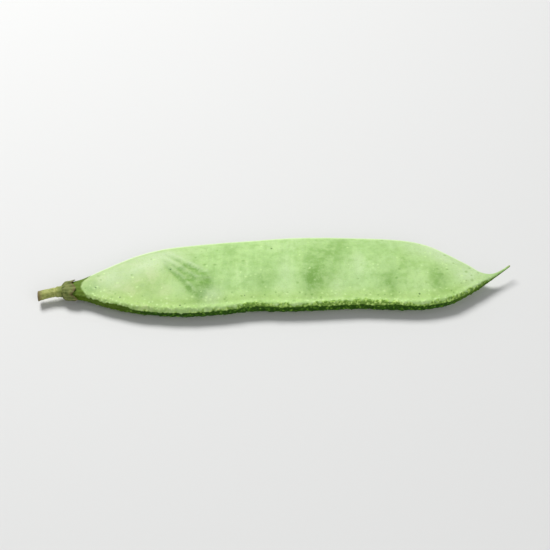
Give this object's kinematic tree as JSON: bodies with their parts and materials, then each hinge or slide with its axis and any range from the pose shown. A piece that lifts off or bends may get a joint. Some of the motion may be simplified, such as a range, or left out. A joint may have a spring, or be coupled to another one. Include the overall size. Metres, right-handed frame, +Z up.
{
  "type": "hyacinth bean",
  "caption": "Flat green hyacinth bean pod lying on its side, with a warty double seam, a fine hooked beak, a half-withered calyx and a short cut stalk.",
  "frame": {"origin": "on the surface the pod lies on, under the middle of the whole bean's box", "axes": "+X along the pod from the cut stalk to the beak, +Y from the warty seam to the thin rim, +Z up through the flat of the pod"},
  "size_m": [0.102, 0.023, 0.0052],
  "materials": {
    "pod_skin": "matt, faintly waxy green plant skin, dark along the warty seam",
    "calyx_dry": "dull and papery, half withered: olive with pale veins, browned along the lobes",
    "stalk_olive": "dull ribbed yellow-olive stem with a browned cut end round paler pith"
  },
  "bodies": {
    "root": {"pod": "pod_skin", "calyx": "calyx_dry", "stalk": "stalk_olive"}
  },
  "joints": []
}
